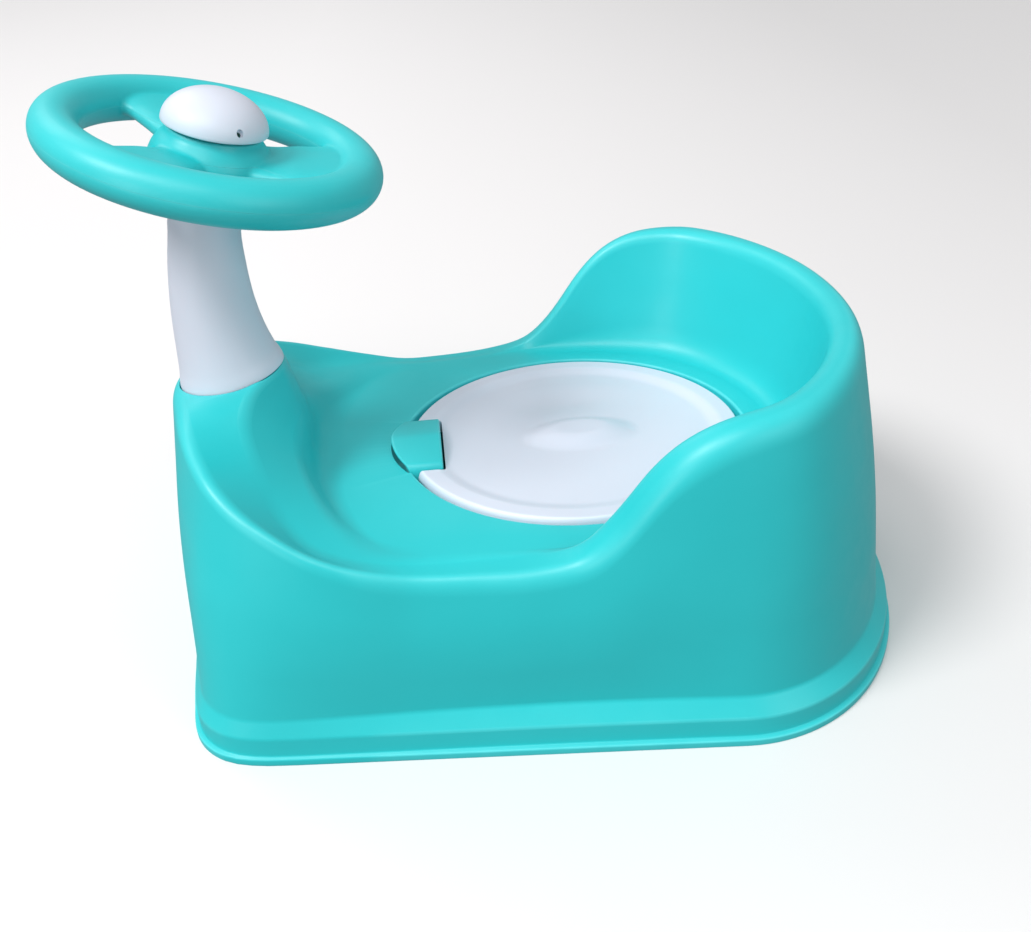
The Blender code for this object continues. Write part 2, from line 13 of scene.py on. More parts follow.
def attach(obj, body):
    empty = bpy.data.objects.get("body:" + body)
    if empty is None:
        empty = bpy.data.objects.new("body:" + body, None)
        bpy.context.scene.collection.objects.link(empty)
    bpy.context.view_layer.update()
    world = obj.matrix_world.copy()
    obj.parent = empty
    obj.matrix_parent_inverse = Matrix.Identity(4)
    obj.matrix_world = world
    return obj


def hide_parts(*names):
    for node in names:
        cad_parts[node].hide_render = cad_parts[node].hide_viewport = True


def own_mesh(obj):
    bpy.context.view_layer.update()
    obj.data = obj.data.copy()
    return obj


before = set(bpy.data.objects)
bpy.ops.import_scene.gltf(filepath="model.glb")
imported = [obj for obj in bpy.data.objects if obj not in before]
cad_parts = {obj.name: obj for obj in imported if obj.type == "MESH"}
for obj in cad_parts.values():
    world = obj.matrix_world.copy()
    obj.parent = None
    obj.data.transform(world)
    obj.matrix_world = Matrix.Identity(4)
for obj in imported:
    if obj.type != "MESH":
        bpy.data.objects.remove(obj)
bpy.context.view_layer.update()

# ---------------------------------------------------------------- sizes, which follow the CAD model
WALL = 0.0030                   # thickness of the seat moulding
SEAT_Y = 0.0316                 # centre of the oval opening, which the moulding is lofted round
SEAT_Z = 0.1055
OPENING_X = 0.0853              # half the opening across, and fore and aft
OPENING_Y = 0.0925
LEDGE = 0.0095                  # width and height of the ledge that the bowl hangs on
LEDGE_Z = 0.0950

FOOT_FRONT = 0.2190             # the foot's outline, from the seat centre
FOOT_BOW = 0.0080               # how far the front edge curves back at BOW_REACH from the middle
BOW_REACH = 0.09
FOOT_SIDE = 0.1335
FOOT_TAPER = 0.0854             # the sides spread by this share of the way to the rear
FOOT_CORNER = 0.038
REAR_START = 0.070
REAR_DEPTH = 0.1065
FOOT_HEIGHT = 0.0250            # where the wall meets the foot
FOOT_LEDGE = 0.0160             # outer edge of the foot's sloping top
FOOT_STEP = 0.0100

WHEEL_CENTRE = Vector((0.0, -0.1322, 0.2740))
WHEEL_TILT = math.radians(16.0)
RING_R = 0.0678
TUBE_R = 0.01074
HUB_R = 0.0215
HUB_TOP = 0.0085
CHAMBER_R = 0.0201              # the hollow in the hub, under the cap
SPINDLE_R = 0.0060
# Spokes: (angle, half width at the hub, half width at the ring), wider towards the ring than in the CAD.
SPOKES = [(90, 0.0210, 0.0370), (210, 0.0140, 0.0265), (330, 0.0140, 0.0265)]
SPOKE_SCREW_R = 0.0420
SPLIT_GAP = 0.00003             # half the gap between the wheel's two shells

CAP_R = 0.0241
CAP_BASE = 0.0096               # base and height of the dome, within 1 mm of the CAD's
CAP_HEIGHT = 0.0164
CAP_WALL = 0.0017
BELLOWS_BASE = -0.0018          # height on the wheel's axis, like the cap's

LUG_HALF = 0.0250               # the bowl's finger lug: half its width
LUG_FRONT = -0.0990             # its ends, from the seat centre
LUG_BACK = -0.0725
LUG_TOP = 0.1125
LUG_ROOF = 0.0050               # how far its top falls from the ridge to each side

SEAM_CENTRE = Vector((0.0, SEAT_Y - 0.1746, 0.1603))
SEAM_TILT = math.atan2(0.0105, 0.0544)
COLUMN_SCREWS = [(0.0, 0.0120), (0.0115, -0.0110), (-0.0115, -0.0110)]
OVAL_SEGMENTS = 128             # faces round the bowl and the lid

FULL_WEAR_HIGHLIGHT_RADIUS = 0.002        # a convex rounding this tight or tighter is lightened fully: rubbed edge and painted highlight
COARSE_EDGE = 0.006             # a vertex with an edge this long isn't lightened
SHORTEST_EDGE = 0.0001          # edges count as at least this long

# Rim of the moulding on the +X side: (angle from +X about the seat centre, reach, height).
RIM = [(-90, 0.2035, 0.1550), (-82, 0.2010, 0.1545), (-76, 0.1998, 0.1520), (-72, 0.1988, 0.1475),
       (-67, 0.1965, 0.1420), (-62, 0.1915, 0.1345), (-57, 0.1840, 0.1270), (-52, 0.1755, 0.1185),
       (-45, 0.1600, 0.1075), (-38, 0.1435, 0.1010), (-24, 0.1275, 0.1005), (-8, 0.1210, 0.1045),
       (1, 0.1225, 0.1180), (10, 0.1255, 0.1455), (18, 0.1305, 0.1620), (27, 0.1365, 0.1700),
       (39, 0.1430, 0.1730), (65, 0.1415, 0.1740), (90, 0.1415, 0.1735)]
# Inner shoulder, where the rim or the pommel's top turns down to the seat.
SHOULDER = [(-90, 0.1474, 0.1655), (-87, 0.1490, 0.1655), (-84.5, 0.1535, 0.1650), (-82, 0.1610, 0.1630),
            (-79, 0.1680, 0.1565), (-76, 0.1710, 0.1480), (-69, 0.1705, 0.1320), (-62, 0.1700, 0.1190),
            (-55, 0.1670, 0.1110), (-46, 0.1510, 0.1060), (-38, 0.1330, 0.1030), (-24, 0.1165, 0.1035),
            (-8, 0.1090, 0.1090), (1, 0.1080, 0.1275), (10, 0.1105, 0.1530), (18, 0.1150, 0.1675),
            (27, 0.1210, 0.1745), (39, 0.1280, 0.1760), (65, 0.1285, 0.1757), (90, 0.1290, 0.1745)]
# Crease, where that slope meets the seat: (angle, reach, tangent length of its rounding).
CREASE = [(-90, 0.1385, 0.0135), (-75, 0.1375, 0.0095), (-63, 0.1370, 0.0050), (-52, 0.1365, 0.0022),
          (-45, 0.1320, 0.0060), (-38, 0.1220, 0.0120), (-20, 0.1060, 0.0140), (0, 0.1030, 0.0140),
          (20, 0.1060, 0.0150), (45, 0.1120, 0.0160), (90, 0.1150, 0.0160)]
# How softly the section turns at the shoulder and at the rim: (angle, shoulder tangent, rim tangent).
ROUNDING = [(-90, 0.0050, 0.0065), (-76, 0.0042, 0.0070), (-60, 0.0050, 0.0080), (-45, 0.0100, 0.0090),
            (-20, 0.0110, 0.0095), (0, 0.0085, 0.0100), (20, 0.0080, 0.0110), (90, 0.0080, 0.0110)]
# Looks only: how far the pommel's rear slope bulges, and how far the lug's front edge bows.
POMMEL_KNEE = 0.20
LUG_BOW = 0.0085


# ---------------------------------------------------------------- mesh tools
def finish_mesh(name, bm, sharp_angle=38):
    """Turn a bmesh into a smooth-shaded mesh, sharp where faces meet at more than the angle in degrees."""
    bmesh.ops.recalc_face_normals(bm, faces=bm.faces)
    mesh = bpy.data.meshes.new(name)
    bm.to_mesh(mesh)
    bm.free()
    mesh.shade_smooth()
    mesh.set_sharp_from_angle(angle=math.radians(sharp_angle))
    return mesh


def add_object(name, bm, matrix=None, sharp_angle=38):
    """An object of this bmesh, with the matrix applied to its mesh so that the object sits at the origin."""
    obj = bpy.data.objects.new(name, finish_mesh(name, bm, sharp_angle))
    bpy.context.scene.collection.objects.link(obj)
    if matrix:
        obj.data.transform(matrix)
    return obj


def apply_modifiers(obj, sharp_angle=38):
    """Replace the object's mesh by its evaluated one and drop its modifiers."""
    bpy.context.view_layer.update()
    graph = bpy.context.evaluated_depsgraph_get()
    mesh = bpy.data.meshes.new_from_object(obj.evaluated_get(graph))
    obj.modifiers.clear()
    obj.data = mesh
    mesh.shade_smooth()
    mesh.set_sharp_from_angle(angle=math.radians(sharp_angle))
    return obj


def combine(obj, operation, others, sharp_angle=38):
    """Boolean with each of the others, which are used up."""
    for other in others:
        modifier = obj.modifiers.new("combine", "BOOLEAN")
        modifier.operation = operation
        modifier.solver = "EXACT"
        modifier.object = other
    apply_modifiers(obj, sharp_angle)
    for other in others:
        bpy.data.objects.remove(other)
    return obj


def remesh_smooth(obj, voxel, factor, repeat):
    """Fuse an object's pieces into one even skin and soften the creases between them."""
    remesh = obj.modifiers.new("remesh", "REMESH")
    remesh.mode = "VOXEL"
    remesh.voxel_size = voxel
    smooth = obj.modifiers.new("smooth", "SMOOTH")
    smooth.factor = factor
    smooth.iterations = repeat
    return apply_modifiers(obj, 180)


def ring_mesh(rings, closed_loop=False):
    """Skin a list of closed rings; the ends are capped unless the rings close on themselves."""
    bm = bmesh.new()
    loops = [[bm.verts.new(point) for point in ring] for ring in rings]
    count = len(loops[0])
    pairs = list(zip(loops, loops[1:]))
    if closed_loop:
        pairs.append((loops[-1], loops[0]))
    for low, high in pairs:
        for i in range(count):
            j = (i + 1) % count
            bm.faces.new((low[i], low[j], high[j], high[i]))
    if not closed_loop:
        for loop, flip in ((loops[0], True), (loops[-1], False)):
            centre = bm.verts.new(sum((vert.co for vert in loop), Vector()) / count)
            for i in range(count):
                bm.faces.new((loop[i], loop[(i + 1) % count], centre))
    return bm


def circle(radius, height, segments, half_x=1.0, half_y=1.0):
    steps = [2 * math.pi * k / segments for k in range(segments)]
    return [(radius * half_x * math.cos(a), radius * half_y * math.sin(a), height) for a in steps]


def turned(profile, segments=96, half_x=1.0, half_y=1.0):
    """A solid turned about Z from (radius, height) pairs, or an oval one with the two half axes."""
    return ring_mesh([circle(r, z, segments, half_x, half_y) for r, z in profile])


def turned_tube(section, segments=96):
    """A ring turned about Z from a closed section of (radius, height) pairs."""
    return ring_mesh([circle(r, z, segments) for r, z in section], closed_loop=True)


def rounded_box(low, high, radius, segments=4):
    """A box between two corners with bevelled edges."""
    bm = bmesh.new()
    size = Vector(high) - Vector(low)
    centre = (Vector(high) + Vector(low)) / 2
    bmesh.ops.create_cube(bm, size=1.0, matrix=Matrix.Translation(centre) @ Matrix.Diagonal((*size, 1.0)))
    bmesh.ops.bevel(bm, geom=bm.edges[:], offset=radius, segments=segments, profile=0.5, affect="EDGES")
    return bm


def ramp(value, start, span):
    """0 up to start, rising to 1 at start + span."""
    return min(max((value - start) / span, 0.0), 1.0)


def ease(share):
    """0 to 1 with level ends."""
    return share * share * (3 - 2 * share)


def smooth_curve(keys, column, at):
    """Monotone cubic through (angle, value) keys, with level ends so that halves mirror smoothly."""
    x = np.array([key[0] for key in keys], float)
    y = np.array([key[column] for key in keys], float)
    h = np.diff(x)
    d = np.diff(y) / h
    slope = np.zeros_like(y)
    for i in range(1, len(x) - 1):
        if d[i - 1] * d[i] > 0:
            w1 = 2 * h[i] + h[i - 1]
            w2 = h[i] + 2 * h[i - 1]
            slope[i] = (w1 + w2) / (w1 / d[i - 1] + w2 / d[i])
    i = int(np.clip(np.searchsorted(x, at) - 1, 0, len(h) - 1))
    t = (at - x[i]) / h[i]
    return float((1 + 2 * t) * (1 - t) ** 2 * y[i] + t * (1 - t) ** 2 * h[i] * slope[i]
                 + t * t * (3 - 2 * t) * y[i + 1] + t * t * (t - 1) * h[i] * slope[i + 1])


def softened(keys, column, angles, spread):
    """The curve at the angles, averaged over a spread of degrees so that its bends are gradual."""
    steps = np.linspace(-spread, spread, 9)
    weights = 1 - np.abs(steps) / (spread * 1.2)
    values = []
    for angle in angles:
        near = [smooth_curve(keys, column, fold(angle + step)) for step in steps]
        values.append(float(np.dot(near, weights) / weights.sum()))
    return np.array(values)


def fold(angle):
    """An angle brought back to -90..90, since both sides are the same."""
    if angle > 90:
        return 180 - angle
    if angle < -90:
        return -180 - angle
    return angle


def round_corners(corners):
    """Turn (reach, height, tangent length, segments) corners into a polyline with rounded corners."""
    path = []
    last = len(corners) - 1
    for i, (r, z, tangent, segments) in enumerate(corners):
        here = Vector((r, z))
        if i in (0, last) or segments == 0:
            path.append(here)
            continue
        before = Vector(corners[i - 1][:2]) - here
        after = Vector(corners[i + 1][:2]) - here
        start = here + before.normalized() * min(tangent, 0.46 * before.length)
        end = here + after.normalized() * min(tangent, 0.46 * after.length)
        for k in range(segments + 1):
            t = k / segments
            path.append(start * (1 - t) ** 2 + here * (2 * t * (1 - t)) + end * t * t)
    return path


def offset_corners(corners, distance):
    """Shift a corner path to its right-hand side, keeping its corners mitred."""
    shifted = []
    points = [Vector(corner[:2]) for corner in corners]
    for i, point in enumerate(points):
        before = (point - points[i - 1]).normalized() if i else None
        after = (points[i + 1] - point).normalized() if i < len(points) - 1 else None
        normals = [Vector((d.y, -d.x)) for d in (before, after) if d]
        middle = sum(normals, Vector((0.0, 0.0))).normalized()
        scale = distance / max(0.45, middle.dot(normals[0]))
        place = point + middle * scale
        shifted.append((place.x, place.y, corners[i][2], corners[i][3]))
    return shifted


# ---------------------------------------------------------------- seat moulding
def foot_outline():
    """The foot's outline on the +X side as polar (angle, reach) about the seat centre."""
    front_half = FOOT_SIDE - FOOT_TAPER * (FOOT_FRONT - FOOT_CORNER)
    rear_half = FOOT_SIDE + FOOT_TAPER * REAR_START
    bow = FOOT_BOW / BOW_REACH ** 2
    points = [(x, -FOOT_FRONT + bow * x * x) for x in np.linspace(0, front_half - FOOT_CORNER, 24)]
    corner_y = points[-1][1] + FOOT_CORNER
    for a in np.radians(np.linspace(-78, 0, 30)):
        points.append((front_half - FOOT_CORNER * (1 - math.cos(a)), corner_y + FOOT_CORNER * math.sin(a)))
    for t in np.linspace(0.03, 0.97, 40):
        y = corner_y + t * (REAR_START - corner_y)
        points.append((FOOT_SIDE + FOOT_TAPER * y, y))
    for a in np.radians(np.linspace(0, 90, 60)):
        points.append((rear_half * math.cos(a), REAR_START + REAR_DEPTH * math.sin(a)))
    x, y = np.array(points).T
    return np.degrees(np.arctan2(y, x)), np.hypot(x, y)


def seat_angles():
    """Angles for the fine mesh: closest together around the column's post at the front."""
    near_post = np.arange(-90, -60, 0.75)
    rest = np.arange(-60, 90, 1.5)
    right = np.concatenate([near_post, rest, [90.0]])
    return np.concatenate([right, 180 - right[-2:0:-1]])


def oval_reach(angle, half_x, half_y):
    a = math.radians(angle)
    return half_x * half_y / math.hypot(half_y * math.cos(a), half_x * math.sin(a))


def seat_mesh():
    """The moulding, lofted round the seat centre: a closed section of outer and inner skin at each angle."""
    angles = seat_angles()
    folded = np.array([fold(angle) for angle in angles])
    foot_angles, foot_reaches = foot_outline()
    spread = np.interp(folded, (-72, -50, -30), (1.2, 2.5, 5.0))
    rim_r = np.array([softened(RIM, 1, [a], s)[0] for a, s in zip(folded, spread)])
    rim_z = np.array([softened(RIM, 2, [a], s)[0] for a, s in zip(folded, spread)])
    shoulder_r = np.array([softened(SHOULDER, 1, [a], s)[0] for a, s in zip(folded, spread)])
    shoulder_z = np.array([softened(SHOULDER, 2, [a], s)[0] for a, s in zip(folded, spread)])
    crease = softened(CREASE, 1, folded, 4.0)
    foot = np.array([np.mean([np.interp(fold(a + s), foot_angles, foot_reaches) for s in (-2, -1, 0, 1, 2)])
                     for a in folded])
    columns = []
    for i, angle in enumerate(angles):
        at = folded[i]
        opening = oval_reach(at, OPENING_X, OPENING_Y)
        frontness = ease(ramp(-at, 35, 35))
        wall = foot[i] - FOOT_STEP + 0.0030 * frontness
        middle_r = (rim_r[i] + 0.0015 + wall) / 2 + 0.0035 + 0.0025 * frontness
        middle_z = (rim_z[i] + FOOT_HEIGHT) / 2
        height = rim_z[i] - FOOT_HEIGHT
        bulge = POMMEL_KNEE * ramp(-at, 44, 14)
        knee_r = crease[i] + (0.5 - bulge) * (shoulder_r[i] - crease[i])
        knee_z = SEAT_Z + 0.47 * (shoulder_z[i] - SEAT_Z)
        # From the ledge under the opening, up over the seat and the rim, and down the outside to the floor.
        outer = [
            (opening - LEDGE, LEDGE_Z - 0.0065, 0, 0),
            (opening - LEDGE, LEDGE_Z, 0.0008, 3),
            (opening, LEDGE_Z, 0.0005, 2),
            (opening + 0.0006, SEAT_Z, 0.0016, 6),
            (crease[i], SEAT_Z - 0.0008, smooth_curve(CREASE, 2, at), 16),
            (knee_r, knee_z, 0.0045, 8),
            (shoulder_r[i], shoulder_z[i], smooth_curve(ROUNDING, 1, at), 16),
            (rim_r[i] + 0.0015, rim_z[i] + 0.0015, smooth_curve(ROUNDING, 2, at), 16),
            (middle_r, middle_z, 0.42 * height, 14),
            (wall, FOOT_HEIGHT, 0.0016, 10),
            (foot[i] - 0.0028, FOOT_LEDGE, 0.0013, 10),
            (foot[i] - 0.0026, 0.0048, 0.0008, 5),
            (foot[i], 0.0038, 0.0008, 5),
            (foot[i], 0.0, 0.0006, 2),
            (foot[i] - 0.0006, 0.0, 0, 0),
        ]
        # The inner skin leaves out the two small corners above the foot's lip.
        inner = offset_corners(outer[:-1], WALL)
        inner[0] = (outer[0][0] + WALL, outer[0][1], 0, 0)
        inner = [corner for k, corner in enumerate(inner) if k not in (11, 12)]
        inner[-1] = (foot[i] - WALL - 0.0030, 0.0, 0, 0)
        path = round_corners(outer) + list(reversed(round_corners(inner)))
        a = math.radians(angle)
        columns.append([(p.x * math.cos(a), SEAT_Y + p.x * math.sin(a), p.y) for p in path])
    rings = [list(ring) for ring in zip(*columns)]
    return ring_mesh(rings, closed_loop=True)


def seam_matrix():
    """Where the column meets the pommel: X and Y lie in the seam, and Z points up the column."""
    return Matrix.Translation(SEAM_CENTRE) @ Matrix.Rotation(SEAM_TILT, 4, "X")


def pocket_mesh():
    """Room for the bowl's lug, open to the seat opening, with a bowed front edge."""
    half = LUG_HALF + 0.0007
    outline = [(half * share, SEAT_Y + LUG_FRONT - 0.0006 + LUG_BOW * share * share)
               for share in np.linspace(-1, 1, 25)]
    outline += [(half, SEAT_Y + LUG_BACK + 0.004), (-half, SEAT_Y + LUG_BACK + 0.004)]
    return ring_mesh([[(x, y, z) for x, y in outline] for z in (0.080, 0.130)])


def make_seat():
    """The moulding with the lug's pocket, the column's shallow socket and its screw holes cut in."""
    seat = add_object("seat_skin", seat_mesh(), sharp_angle=42)
    pocket = add_object("pocket", pocket_mesh())
    socket = add_object("socket", turned([(1.0, -0.0012), (1.0, 0.02)], 128, 0.0246, 0.0276), seam_matrix())
    cutters = [pocket, socket]
    for x, y in COLUMN_SCREWS:
        place = seam_matrix() @ Matrix.Translation((x, y, 0))
        cutters.append(add_object("screw_hole", turned([(0.0021, -0.02), (0.0021, 0.01)], 32), place))
    return combine(seat, "DIFFERENCE", cutters, 42)


# ---------------------------------------------------------------- steering column
def wheel_matrix():
    """The steering wheel's own frame: origin in the ring's middle plane, and Z up the wheel's axis."""
    return Matrix.Translation(WHEEL_CENTRE) @ Matrix.Rotation(-WHEEL_TILT, 4, "X")


def make_column():
    """The oval column with its rounded lower lip, neck and spindle."""
    seam = seam_matrix()
    wheel = wheel_matrix()
    neck = wheel @ Vector((0, 0, -0.0385))
    sizes = [(0.0, 0.0240, 0.0270), (0.12, 0.0228, 0.0246), (0.28, 0.0212, 0.0224), (0.50, 0.0196, 0.0203),
             (0.75, 0.0182, 0.0185), (1.0, 0.0168, 0.0170)]
    around = [2 * math.pi * k / 96 for k in range(96)]

    def section(matrix, half_x, half_y):
        return [matrix @ Vector((half_x * math.cos(a), half_y * math.sin(a), 0)) for a in around]

    lip = [(-0.0008, -0.0004), (-0.0006, -0.0001), (-0.0002, 0.0)]
    rings = [section(seam @ Matrix.Translation((0, 0, z)), 0.0240 + r, 0.0270 + r) for z, r in lip]
    for share in np.linspace(0.02, 1.0, 40):
        centre = SEAM_CENTRE.lerp(neck, share)
        centre.y -= 0.0030 * math.sin(math.pi * share)
        tilt = SEAM_TILT * (1 - share) - WHEEL_TILT * share
        matrix = Matrix.Translation(centre) @ Matrix.Rotation(tilt, 4, "X")
        rings.append(section(matrix, smooth_curve(sizes, 1, share), smooth_curve(sizes, 2, share)))
    for z, r in [(-0.030, 0.0164), (-0.0215, 0.0160), (-0.0205, 0.0157), (-0.0200, 0.0150), (-0.0198, 0.0095),
                 (-0.0188, 0.0092), (-0.0186, 0.0062), (-0.0184, SPINDLE_R), (-0.0083, SPINDLE_R),
                 (-0.0078, SPINDLE_R - 0.0005)]:
        rings.append(section(wheel @ Matrix.Translation((0, 0, z)), r, r))
    column = add_object("column_skin", ring_mesh(rings), sharp_angle=50)
    pilot = add_object("pilot", turned([(0.0014, -0.0185), (0.0014, 0.01)], 24), wheel_matrix())
    cutters = [pilot]
    for x, y in COLUMN_SCREWS:
        place = seam_matrix() @ Matrix.Translation((x, y, 0))
        cutters.append(add_object("bore", turned([(0.0016, -0.004), (0.0016, 0.0100)], 24), place))
    return combine(column, "DIFFERENCE", cutters, 50)


# ---------------------------------------------------------------- steering wheel
def spoke_mesh(angle, hub_half, ring_half, segments=40):
    """A flat oval bar that dips from the ring to the hub."""
    # (reach, half width, height, half thickness) from inside the hub to inside the ring's tube.
    stations = [(0.010, hub_half, -0.0048, 0.0057), (0.020, hub_half, -0.0046, 0.0057),
                (0.028, hub_half * 0.9 + ring_half * 0.1, -0.0038, 0.0056),
                (0.037, hub_half * 0.7 + ring_half * 0.3, -0.0023, 0.0056),
                (0.047, (hub_half + ring_half) / 2, -0.0014, 0.0056),
                (0.056, hub_half * 0.15 + ring_half * 0.85, -0.0004, 0.0056),
                (RING_R - 0.003, ring_half, 0.0, 0.0056)]
    turn = Matrix.Rotation(math.radians(angle), 4, "Z")
    rings = []
    for reach, half, height, thick in stations:
        ring = []
        for k in range(segments):
            b = 2 * math.pi * k / segments
            across = half * math.copysign(abs(math.cos(b)) ** 0.7, math.cos(b))
            up = thick * math.copysign(abs(math.sin(b)) ** 0.8, math.sin(b))
            ring.append(turn @ Vector((reach, across, height + up)))
        rings.append(ring)
    return ring_mesh(rings)


def ring_tube(around=160, across=40):
    """The wheel's round ring, with this many faces around it and across its tube."""
    rings = []
    for k in range(around):
        a = 2 * math.pi * k / around
        ring = []
        for m in range(across):
            b = 2 * math.pi * m / across
            reach = RING_R + TUBE_R * math.cos(b)
            ring.append((reach * math.cos(a), reach * math.sin(a), TUBE_R * math.sin(b)))
        rings.append(ring)
    return ring_mesh(rings, closed_loop=True)


def make_wheel_halves():
    """One fused skin of ring, spokes and hub, bored for the spindle and split at the parting line."""
    hub = [(0.0150, -0.0175), (0.0200, -0.0166), (0.0252, -0.0130), (0.0280, -0.0100), (0.0288, -0.0068),
           (0.0274, -0.0020), (0.0258, 0.0012), (0.0240, 0.0036), (HUB_R + 0.0006, 0.0058), (HUB_R, HUB_TOP)]
    body = add_object("wheel_skin", turned(hub, 96))
    others = [add_object("ring", ring_tube())]
    others += [add_object("spoke", spoke_mesh(*spoke)) for spoke in SPOKES]
    combine(body, "UNION", others)
    remesh_smooth(body, 0.0009, 0.5, 6)
    chamber = [(0.0180, -0.0080), (0.0180, -0.0040), (CHAMBER_R, -0.0038), (CHAMBER_R, 0.0200)]
    bearing = [(SPINDLE_R + 0.0003, -0.03), (SPINDLE_R + 0.0003, 0.0)]
    combine(body, "DIFFERENCE", [add_object("chamber", turned(chamber)),
                                 add_object("bearing", turned(bearing, 48))], 50)
    halves = []
    for name, low, high in (("wheel_upper_skin", -0.1, SPLIT_GAP), ("wheel_lower_skin", -SPLIT_GAP, 0.1)):
        half = add_object(name, bmesh.new())
        half.data = body.data.copy()
        cutters = [add_object("parting", rounded_box((-0.1, -0.1, low), (0.1, 0.1, high), 0.00002, 1))]
        for angle, _, _ in SPOKES:
            place = Matrix.Rotation(math.radians(angle), 4, "Z") @ Matrix.Translation((SPOKE_SCREW_R, 0, 0))
            bore = [(0.0036, -0.0120), (0.0036, -0.0036), (0.0017, -0.0035), (0.0017, 0.0029)]
            cutters.append(add_object("screw_hole", turned(bore, 32), place))
        combine(half, "DIFFERENCE", cutters, 50)
        half.data.transform(wheel_matrix())
        halves.append(half)
    bpy.data.objects.remove(body)
    return halves


# ---------------------------------------------------------------- horn and hub inside
def dome(radius, height, base, steps):
    """A quarter oval from the rim to just short of the middle, which ring_mesh closes."""
    return [(radius * math.cos(a), base + height * math.sin(a))
            for a in np.radians(np.linspace(0, 88.5, steps))]


def make_cap():
    """The domed cap, hollow underneath, with a small dimple low on its near side."""
    outside = [(CAP_R - 0.0006, CAP_BASE), (CAP_R - 0.0002, CAP_BASE + 0.0002)]
    outside += dome(CAP_R, CAP_HEIGHT, CAP_BASE + 0.0006, 28)
    inside = [(CAP_R - CAP_WALL, CAP_BASE - 0.01)]
    inside += dome(CAP_R - CAP_WALL, CAP_HEIGHT - CAP_WALL, CAP_BASE, 20)
    cap = add_object("horn_cap_skin", turned(outside), sharp_angle=60)
    hollow = add_object("hollow", turned(inside))
    dimple = bmesh.new()
    bmesh.ops.create_uvsphere(dimple, u_segments=32, v_segments=20, radius=1.0)
    turn = Matrix.Rotation(math.radians(33), 4, "Z")
    place = turn @ Matrix.Translation((0.0226, 0, 0.0140)) @ Matrix.Diagonal((0.0014, 0.0018, 0.0022, 1.0))
    cutter = add_object("dimple", dimple, place)
    combine(cap, "DIFFERENCE", [hollow, cutter], 60)
    cap.data.transform(wheel_matrix())
    return cap


def make_hub_inside():
    """Washer, squeaker plate, reed and bellows, each a closed section turned about the wheel's axis."""
    # (radius, height up the wheel's axis)
    washer = [(0.0022, -0.0073), (0.0098, -0.0073), (0.0100, -0.0071), (0.0100, -0.0063), (0.0098, -0.0061),
              (0.0022, -0.0061)]
    plate = [(0.0046, -0.0036), (0.0193, -0.0036), (0.0193, -0.0022), (0.0046, -0.0022)]
    reed = [(0.0012, -0.0034), (0.0042, -0.0034), (0.0042, -0.0010), (0.0012, -0.0010)]
    folds = [(0.0105, BELLOWS_BASE)]
    for fold_number in range(2):
        low = -0.0008 + fold_number * 0.0084
        folds += [(0.0150, low), (0.0150, low + 0.0020), (0.0105, low + 0.0042), (0.0105, low + 0.0062)]
    folds += [(0.0150, 0.0160), (0.0150, 0.0176), (0.0060, 0.0225)]
    corners = [(r, z, 0.0010, 5) for r, z in folds]
    outer = [(p.x, p.y) for p in round_corners(corners)]
    inner = [(max(r - 0.0011, 0.0030), z - (0.0011 if r < 0.0061 else 0.0)) for r, z in outer]
    made = {}
    for name, section in (("washer_skin", washer), ("plate_skin", plate), ("reed_skin", reed),
                          ("bellows_skin", outer + inner[::-1])):
        made[name] = add_object(name, turned_tube(section, 64), wheel_matrix())
    return made


def make_screw(name, head_r, head_h, shank_r, shank_l, place):
    """A pan-head screw with a cross recess and a fine thread: head below the plane, shank along +Z."""
    profile = [(head_r * 0.55, -head_h), (head_r * 0.82, -head_h * 0.88), (head_r * 0.97, -head_h * 0.55),
               (head_r, -head_h * 0.15), (head_r * 0.98, 0.0), (shank_r, 0.0)]
    pitch = 0.0009
    for k in range(int((shank_l - 0.0012) / pitch)):
        z = 0.0004 + k * pitch
        profile += [(shank_r * 0.80, z), (shank_r, z + 0.00045)]
    profile += [(shank_r * 0.8, shank_l - 0.0006), (shank_r * 0.15, shank_l)]
    screw = add_object(name, turned(profile, 40), sharp_angle=30)
    cutters = []
    low = (-head_r * 0.55, -head_r * 0.11, -head_h * 1.5)
    high = (head_r * 0.55, head_r * 0.11, -head_h * 0.4)
    for turn in (0, 90):
        slot = rounded_box(low, high, 0.00008, 1)
        cutters.append(add_object("slot", slot, Matrix.Rotation(math.radians(turn), 4, "Z")))
    combine(screw, "DIFFERENCE", cutters, 30)
    screw.data.transform(place)
    return screw


# ---------------------------------------------------------------- bowl and lid
def oval_rings(profile):
    """Oval rings about the seat centre from (growth past the opening, height) pairs."""
    rings = []
    for grow, z in profile:
        ring = []
        for k in range(OVAL_SEGMENTS):
            a = 2 * math.pi * k / OVAL_SEGMENTS
            ring.append(((OPENING_X + grow) * math.cos(a), SEAT_Y + (OPENING_Y + grow) * math.sin(a), z))
        rings.append(ring)
    return rings


